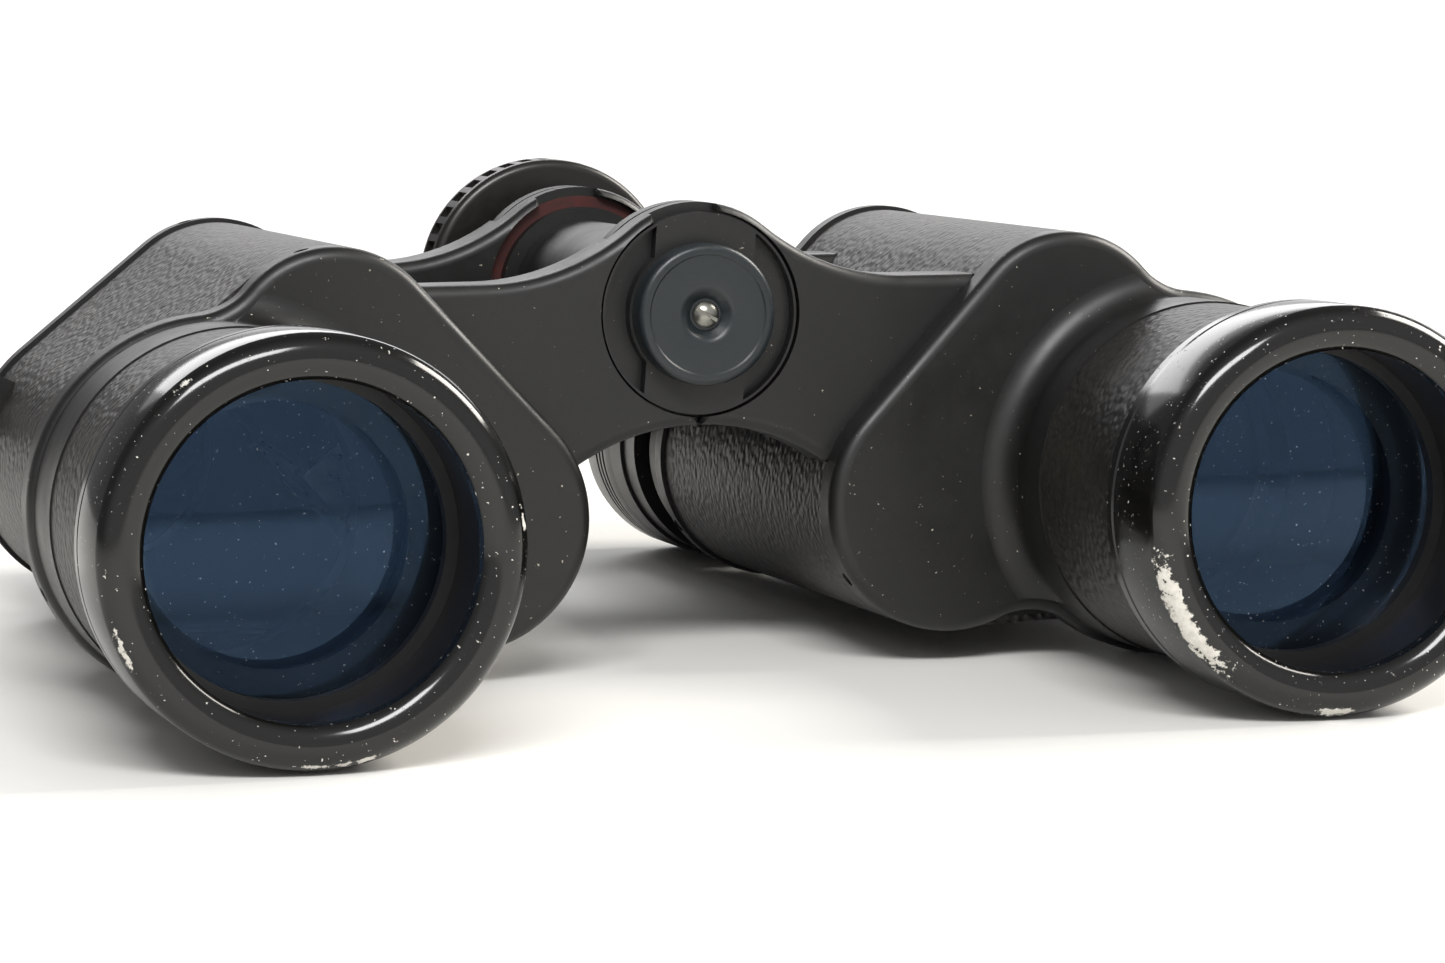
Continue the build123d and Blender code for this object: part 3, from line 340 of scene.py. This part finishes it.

# %% [markdown]
# Leatherette is cloth coated with black nitrocellulose and embossed with a pebble grain. The pebbles' tops
# are painted lighter, for rubbed wear and a painted sheen, and the hollows between them darker as painted
# shade; dust lies in sparse specks, and large parts have gone brownish. A smooth Voronoi pattern gives the
# pebbles, about 0.85 mm across, and its distance drives both the colour and the bump.

# %% Leatherette
PEBBLE_SIZE = 0.85 * MM
PEBBLE_RISE = 0.24 * MM
FADED_SIZE = 11 * MM
DUST_SIZE = 0.6 * MM
leather, tree, shader, place = new_material("pebbled_leatherette")
pebble = add(tree, "TexVoronoi", {"Vector": place, "Scale": 1 / PEBBLE_SIZE, "Randomness": 1.0},
             feature="SMOOTH_F1")
# Painted shade and sheen: this ramp paints the pebble tops lighter and the hollows between them darker.
shade = add(tree, "ValToRGB", {"Fac": pebble.outputs["Distance"]})
shade.color_ramp.elements[0].color = linear("1b1a18")
shade.color_ramp.elements[1].color = linear("0c0c0b")
faded = add(tree, "TexNoise", {"Vector": place, "Scale": 1 / FADED_SIZE, "Detail": 5.0, "Roughness": 0.6})
brown = add(tree, "MapRange", {"Value": faded.outputs["Fac"], "From Min": 0.45, "From Max": 0.7,
                               "To Min": 0.0, "To Max": 0.6})
tint = add(tree, "Mix", {"Factor": brown.outputs["Result"], COLOUR_A: shade.outputs["Color"],
                         COLOUR_B: linear("2f2a23")}, data_type="RGBA")
specks = chips(tree, place, DUST_SIZE, 0.72, 0.8)
dust = add(tree, "Mix", {"Factor": specks, COLOUR_A: tint.outputs[MIXED], COLOUR_B: linear("8d887c")},
           data_type="RGBA")
bump = add(tree, "Bump", {"Height": pebble.outputs["Distance"], "Strength": 1.0, "Distance": PEBBLE_RISE},
           invert=True)
tree.links.new(dust.outputs[MIXED], shader.inputs["Base Color"])
tree.links.new(bump.outputs["Normal"], shader.inputs["Normal"])
shader.inputs["Roughness"].default_value = 0.46
print("pebbles of", PEBBLE_SIZE / MM, "mm")

# %% [markdown]
# The objectives carry one layer of magnesium fluoride, which takes the yellow out of what they reflect and
# leaves blue. On the shader that is the tint of the specular reflection. Behind the glass it is dark, since
# the tube is blacked inside.

# %% Coated glass
COATING = "93b8ea"
MOTE_SIZE = 0.4 * MM
coated, tree, shader, place = new_material("blue_coated_glass")
shader.inputs["IOR"].default_value = 1.52
shader.inputs["Specular Tint"].default_value = linear(COATING)
motes = chips(tree, place, MOTE_SIZE, 0.735, 0.75)
clear = add(tree, "MapRange", {"Value": motes, "To Min": 1.0, "To Max": 0.1})
haze = add(tree, "MapRange", {"Value": motes, "To Min": 0.0, "To Max": 0.8})
dusty = add(tree, "Mix", {"Factor": motes, COLOUR_A: linear("c6d4df"), COLOUR_B: linear("a19e96")},
            data_type="RGBA")
tree.links.new(clear.outputs["Result"], shader.inputs["Transmission Weight"])
tree.links.new(haze.outputs["Result"], shader.inputs["Roughness"])
tree.links.new(dusty.outputs[MIXED], shader.inputs["Base Color"])

polished, tree, shader, place = new_material("polished_optical_glass")
shader.inputs["Base Color"].default_value = linear("e8f0f0")
shader.inputs["Transmission Weight"].default_value = 1.0
shader.inputs["IOR"].default_value = 1.57
shader.inputs["Roughness"].default_value = 0.01
print("coated glass reflects", [round(v, 2) for v in linear(COATING)[:3]])

# %% [markdown]
# Small finishes. Anodised aluminium is a dull black with lathe lines, steel and brass are turned bright,
# phenolic plastic is moulded, hard and slightly brown, and the friction washer is red vulcanised fibre.

# %% Anodised aluminium
LATHE_PITCH = math.pi / 2 * MM     # real lathe lines are too fine to show, so these are drawn 1.6 mm apart
CLOUD_SIZE = 3 * MM
WAVE_FACTOR = 20                   # a Wave texture is the sine of 20 times its scaled coordinate
anodised, tree, shader, place = new_material("black_anodised_aluminium")
lines = add(tree, "TexWave", {"Vector": place, "Scale": math.tau / (WAVE_FACTOR * LATHE_PITCH),
                              "Distortion": 0.6, "Detail": 1.0}, bands_direction="Y")
bump = add(tree, "Bump", {"Height": lines.outputs["Fac"], "Strength": 0.12, "Distance": 0.02 * MM})
cloud = add(tree, "TexNoise", {"Vector": place, "Scale": 1 / CLOUD_SIZE, "Detail": 3.0})
shade = add(tree, "ValToRGB", {"Fac": cloud.outputs["Fac"]})
shade.color_ramp.elements[0].color = linear("0b0b0c")
shade.color_ramp.elements[1].color = linear("151516")
tree.links.new(shade.outputs["Color"], shader.inputs["Base Color"])
tree.links.new(bump.outputs["Normal"], shader.inputs["Normal"])
shader.inputs["Roughness"].default_value = 0.42
print("lathe lines every", round(LATHE_PITCH / MM, 2), "mm")

# %% Turned metals, plastic and fibre
MOTTLE_SIZE = 1.4 * MM
POLISHED, DULLED = 0.7, 1.4            # the roughness varies between these shares of its own value
# each finish is (dark colour, light colour, roughness, metallic)
FINISHES = {"turned_steel": ("77766f", "a3a29b", 0.28, 1.0), "turned_brass": ("8c6f3a", "bd9a58", 0.3, 1.0),
            "black_phenolic_plastic": ("131210", "1e1b18", 0.3, 0.0),
            "red_vulcanised_fibre": ("140a08", "541711", 0.6, 0.0)}
plain = {}
for name, (dark, light, rough, metallic) in FINISHES.items():
    plain[name], tree, shader, place = new_material(name)
    mottle = add(tree, "TexNoise", {"Vector": place, "Scale": 1 / MOTTLE_SIZE, "Detail": 5.0,
                                    "Roughness": 0.65})
    shade = add(tree, "ValToRGB", {"Fac": mottle.outputs["Fac"]})
    shade.color_ramp.elements[0].color = linear(dark)
    shade.color_ramp.elements[1].color = linear(light)
    haze = add(tree, "MapRange", {"Value": mottle.outputs["Fac"], "To Min": rough * POLISHED,
                                  "To Max": rough * DULLED})
    bump = add(tree, "Bump", {"Height": mottle.outputs["Fac"], "Strength": 0.1, "Distance": 0.03 * MM})
    tree.links.new(shade.outputs["Color"], shader.inputs["Base Color"])
    tree.links.new(haze.outputs["Result"], shader.inputs["Roughness"])
    tree.links.new(bump.outputs["Normal"], shader.inputs["Normal"])
    shader.inputs["Metallic"].default_value = metallic
print(", ".join(plain))

# %% [markdown]
# The hinge cap has lost its gloss to handling: its enamel is greyer and bluer than the rest, with fine
# rubbed marks. Only a stretched noise is needed for those, since the marks run round no axis.

# %% Rubbed enamel of the hinge cap
MARK_SIZE = 1.2 * MM
MARK_STRETCH = 4.0
MARK_LEAN = math.radians(35)
rubbed, tree, shader, place = new_material("rubbed_grey_enamel")
drawn_out = add(tree, "Mapping", {"Vector": place, "Scale": (1.0, 1.0, MARK_STRETCH),
                                  "Rotation": (0, MARK_LEAN, 0)})
marks = add(tree, "TexNoise", {"Vector": drawn_out.outputs["Vector"], "Scale": 1 / MARK_SIZE, "Detail": 5.0,
                               "Roughness": 0.7})
shade = add(tree, "ValToRGB", {"Fac": marks.outputs["Fac"]})
shade.color_ramp.elements[0].color = linear("12171a")
shade.color_ramp.elements[1].color = linear("262c2f")
haze = add(tree, "MapRange", {"Value": marks.outputs["Fac"], "To Min": 0.2, "To Max": 0.5})
bump = add(tree, "Bump", {"Height": marks.outputs["Fac"], "Strength": 0.12, "Distance": 0.02 * MM})
tree.links.new(shade.outputs["Color"], shader.inputs["Base Color"])
tree.links.new(haze.outputs["Result"], shader.inputs["Roughness"])
tree.links.new(bump.outputs["Normal"], shader.inputs["Normal"])
print("rubbed enamel:", len(tree.nodes), "nodes")

# %% [markdown]
# The ring on the user's right eyepiece sets the difference between the eyes, so it carries a scale of plain
# white strokes over its top. The strokes are cut into the anodising and filled with white paint. They are a
# pattern of the angle round the eyepiece's axis, so no extra mesh is needed.

# %% Diopter scale
STROKE_PITCH = math.radians(9)
STROKE_SHARE = 0.16                # a stroke's width in pitches
STROKE_START = 0.45                # how far back the strokes begin, as a share of the ring's length
SCALE_HALF = math.radians(41)
DULL_SIZE = 2 * MM
scale, tree, shader, place = new_material("black_anodised_with_white_scale")
axis = eyepiece["right"]
ring_front, ring_back = front("diopter_ring"), back("diopter_ring")
centred = add(tree, "Mapping", {"Vector": place, "Location": (-axis.x, -ring_front, -axis.z)})
part = add(tree, "SeparateXYZ", {"Vector": centred.outputs["Vector"]})
angle = add(tree, "Math", {0: part.outputs["X"], 1: part.outputs["Z"]}, operation="ARCTAN2")
turns = add(tree, "Math", {0: angle.outputs["Value"], 1: STROKE_PITCH}, operation="DIVIDE")
beat = add(tree, "Math", {0: turns.outputs["Value"]}, operation="ROUND")
off = add(tree, "Math", {0: turns.outputs["Value"], 1: beat.outputs["Value"]}, operation="SUBTRACT")
off = add(tree, "Math", {0: off.outputs["Value"]}, operation="ABSOLUTE")
thin = add(tree, "Math", {0: off.outputs["Value"], 1: STROKE_SHARE / 2}, operation="LESS_THAN")
aside = add(tree, "Math", {0: angle.outputs["Value"]}, operation="ABSOLUTE")
upper = add(tree, "Math", {0: aside.outputs["Value"], 1: SCALE_HALF}, operation="LESS_THAN")
rear_part = add(tree, "Math", {0: part.outputs["Y"], 1: (ring_back - ring_front) * STROKE_START},
                operation="GREATER_THAN")
stroke = add(tree, "Math", {0: thin.outputs["Value"], 1: upper.outputs["Value"]}, operation="MULTIPLY")
stroke = add(tree, "Math", {0: stroke.outputs["Value"], 1: rear_part.outputs["Value"]},
             operation="MULTIPLY")
cloud = add(tree, "TexNoise", {"Vector": place, "Scale": 1 / DULL_SIZE, "Detail": 3.0})
shade = add(tree, "ValToRGB", {"Fac": cloud.outputs["Fac"]})
shade.color_ramp.elements[0].color = linear("0b0b0c")
shade.color_ramp.elements[1].color = linear("171718")
paint = add(tree, "Mix", {"Factor": stroke.outputs["Value"], COLOUR_A: shade.outputs["Color"],
                          COLOUR_B: linear("dcd9cf")}, data_type="RGBA")
tree.links.new(paint.outputs[MIXED], shader.inputs["Base Color"])
shader.inputs["Roughness"].default_value = 0.4
print("strokes on the scale:", 2 * int(SCALE_HALF / STROKE_PITCH) + 1)

# %% [markdown]
# Every CAD piece takes the finish of its own material slot, and the diopter ring takes its scale.

# %% Finishes on the CAD pieces
slots = {"satin_black_metal": satin, "leatherette": leather, "coated_glass": coated,
         "optical_glass": polished, "black_anodised": anodised, "steel": plain["turned_steel"],
         "brass": plain["turned_brass"], "black_plastic": plain["black_phenolic_plastic"],
         "red_fibre": plain["red_vulcanised_fibre"]}
for row in frame["record"]["subparts"]:
    node = nodes[row["node"]]
    node.data.materials.clear()
    side = "left" if row["node"].startswith("left") else "right"
    slots["black_enamel"] = gloss[side]
    node.data.materials.append(slots[row["material_slot"]])
nodes["diopter_ring"].data.materials[0] = scale
print(len(nodes), "pieces dressed")

# %% [markdown]
# ## Turned pieces
# Rims, lenses, eyecups and the hinge cap are all turned on a lathe. Each is drawn as half of its section,
# whose corners are rounded with a vertex bevel, and then spun about the axis. That is also how the real
# ones are made, and it gives even rings of faces, which carry a highlight better than CAD triangles do. A
# spin can turn a shape inside out, so the doubles are merged first and the normals recalculated after that.

# %% Lathe
SPIN_STEPS = 128
SHARP_ANGLE = math.radians(32)
ROUND_SEGMENTS = 6
MERGE_REACH = 0.002 * MM


def spin_piece(name, section, axis, rounds, material, body, stands_for):
    """Turns a closed section of (radius, y) points in mm about an axis; rounds are {point number: mm}."""
    bm = bmesh.new()
    bm.faces.new([bm.verts.new((radius * MM, y * MM, 0)) for radius, y in section])
    for number, size in rounds.items():
        target = Vector((section[number][0] * MM, section[number][1] * MM, 0))
        corner = min(bm.verts, key=lambda v: (v.co - target).length)
        bmesh.ops.bevel(bm, geom=[corner], offset=size * MM, affect="VERTICES", segments=ROUND_SEGMENTS,
                        profile=0.5, material=-1)
    bmesh.ops.delete(bm, geom=list(bm.faces), context="FACES_ONLY")
    bmesh.ops.spin(bm, geom=list(bm.verts) + list(bm.edges), cent=(0, 0, 0), axis=(0, 1, 0), angle=math.tau,
                   steps=SPIN_STEPS, use_merge=True)
    bmesh.ops.remove_doubles(bm, verts=bm.verts, dist=MERGE_REACH)
    bmesh.ops.recalc_face_normals(bm, faces=bm.faces)
    bmesh.ops.translate(bm, vec=(axis.x, 0, axis.z), verts=bm.verts)
    for face in bm.faces:
        face.smooth = True
    for edge in bm.edges:
        edge.smooth = edge.calc_face_angle(0) < SHARP_ANGLE
    mesh = bpy.data.meshes.new(name)
    bm.to_mesh(mesh)
    bm.free()
    mesh.materials.append(material)
    piece = bpy.data.objects.new(name, mesh)
    bpy.context.scene.collection.objects.link(piece)
    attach(piece, body)
    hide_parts(*stands_for)
    return piece


def arc_section(middle_r, middle_y, radius, start, end, count):
    """Points of an arc in a section, from start to end degrees; 0 points outwards and 90 to the front."""
    turns = [math.radians(start + (end - start) * step / (count - 1)) for step in range(count)]
    return [(middle_r + radius * math.cos(a), middle_y - radius * math.sin(a)) for a in turns]


# %% [markdown]
# The hood ring has one full bead over its front, from the inner lip to the outside. Near its rear is a fine
# groove where it meets the tube's skin.

# %% Objective rings
BEAD = 2.7
BEAD_POINTS = 18
LIP = 17.5
LIP_LENGTH = 3.0
TUBE = 19.4
RING_LENGTH = 14.0
REAR_BEVEL = 0.6
GROOVE = (11.4, 11.6, 11.9, 12.1)      # its four corners, behind the rim's face
GROOVE_DEPTH = 0.3
BAND_DROP = 0.02                       # the band behind the groove is a touch smaller than the hood

face_y = rim_face / MM
crest = RIM_CREST / MM
outside = RIM_OUTSIDE / MM
band = outside - BAND_DROP
start = math.degrees(math.acos((outside - crest) / BEAD))
end = math.degrees(math.acos((LIP - crest) / BEAD))
rear_y = face_y + RING_LENGTH
section = arc_section(crest, face_y + BEAD, BEAD, start, end, BEAD_POINTS)
section += [(LIP, face_y + LIP_LENGTH), (TUBE, face_y + LIP_LENGTH), (TUBE, rear_y)]
section += [(outside - REAR_BEVEL, rear_y), (band, rear_y - REAR_BEVEL), (band, face_y + GROOVE[3])]
section += [(outside - GROOVE_DEPTH, face_y + GROOVE[2]), (outside - GROOVE_DEPTH, face_y + GROOVE[1])]
section += [(outside, face_y + GROOVE[0])]
for side in SIDES:
    hood = spin_piece(f"hood_ring_{side}", section, objective[side], {}, gloss[side], f"{side}_barrel",
                      [f"{side}_objective_ring"])
    print(hood.name, len(hood.data.polygons), "faces")

# %% [markdown]
# Both elements of the objective are cemented together, so they are made as one piece of glass, convex to
# the front and flat behind. Glass needs a closed shell for its refraction, so the section runs from pole to
# pole along the axis.

# %% Objective lenses
LENS_RADIUS = 17.88
LENS_BULGE = 1.6
LENS_POINTS = 20
REAR_CLEARANCE = 0.05

curve = (LENS_RADIUS ** 2 + LENS_BULGE ** 2) / (2 * LENS_BULGE)
half = math.degrees(math.asin(LENS_RADIUS / curve))
for side in SIDES:
    pole_y = front(f"{side}_objective_crown_lens") / MM
    rear_y = back(f"{side}_objective_flint_lens") / MM - REAR_CLEARANCE
    section = arc_section(0, pole_y + curve, curve, 90, 90 - half, LENS_POINTS)
    section += [(LENS_RADIUS, rear_y), (0, rear_y)]
    spin_piece(f"objective_lens_{side}", section, objective[side], {}, coated, f"{side}_barrel",
               [f"{side}_objective_crown_lens", f"{side}_objective_flint_lens"])
print("front curve of the lens", round(curve, 1), "mm")

# %% [markdown]
# The hinge cap is a thick turned disc, with a rounded edge, a face turned a little lower inside its rim and
# a dished middle for its screw. It has no lettering.

# %% Hinge cap
CAP_RADIUS = 8.05
CAP_ROUND = 0.75
SCREW_HOLE = 0.9
DISH = (1.8, 3.0, 1.2)                 # floor's radius, mouth's radius and depth
DISH_ROUND = 0.4
FACE_RADII = (6.7, 6.9)                # the lowered face ends between these
FACE_DROP = 0.15

cap_front = front("hinge_cap") / MM
cap_back = back("hinge_cap") / MM
section = [(SCREW_HOLE, cap_back), (SCREW_HOLE, cap_front + DISH[2]), (DISH[0], cap_front + DISH[2]),
           (DISH[1], cap_front + FACE_DROP), (FACE_RADII[0], cap_front + FACE_DROP),
           (FACE_RADII[1], cap_front), (CAP_RADIUS, cap_front), (CAP_RADIUS, cap_back)]
spin_piece("hinge_cover_disc", section, hinge, {6: CAP_ROUND, 3: DISH_ROUND}, rubbed, "right_barrel",
           ["hinge_cap"])
print("hinge cap", round(cap_back - cap_front, 2), "mm thick")

# %% [markdown]
# The eyecups are moulded in hard plastic: a funnel for the eye inside, three grip rings outside and a
# rounded lip. The left one rides on its half of the focus bridge, and the right one on the ocular that the
# diopter ring moves.

# %% Eyecups
CUP_RADIUS = 15.2
CUP_FOOT_RADIUS = 14.95
CUP_SLOPE = 1.5
SEAT_RADIUS = 11.02
SEAT_DEPTH = 2.5
BORE_RADIUS = 8.7
BORE_END = 4.1
LIP_WIDTH = 1.8
LIP_ROUNDS = (0.85, 0.6)
GRIP_RINGS = 3
GRIP_START = 2.4
GRIP_PITCH = 1.5
GRIP_STEPS = (0.0, 0.2, 0.6, 0.8)      # a grip groove's four corners along the cup
GRIP_DEPTH = 0.35

for side in SIDES:
    y0 = front(f"{side}_eyecup") / MM
    y1 = back(f"{side}_eyecup") / MM
    section = [(SEAT_RADIUS, y0), (CUP_FOOT_RADIUS, y0), (CUP_RADIUS, y0 + CUP_SLOPE)]
    for number in range(GRIP_RINGS):
        grip = [y0 + GRIP_START + GRIP_PITCH * number + step for step in GRIP_STEPS]
        section += [(CUP_RADIUS, grip[0]), (CUP_RADIUS - GRIP_DEPTH, grip[1])]
        section += [(CUP_RADIUS - GRIP_DEPTH, grip[2]), (CUP_RADIUS, grip[3])]
    lip = len(section)
    section += [(CUP_RADIUS, y1), (CUP_RADIUS - LIP_WIDTH, y1), (BORE_RADIUS, y0 + BORE_END)]
    section += [(BORE_RADIUS, y0 + SEAT_DEPTH), (SEAT_RADIUS, y0 + SEAT_DEPTH)]
    rounds = {lip: LIP_ROUNDS[0], lip + 1: LIP_ROUNDS[1]}
    body = "left_focus_bridge" if side == "left" else "right_ocular"
    spin_piece(f"moulded_eyecup_{side}", section, eyepiece[side], rounds, plain["black_phenolic_plastic"],
               body, [f"{side}_eyecup"])
print("eyecup", round(y1 - y0, 1), "mm long")
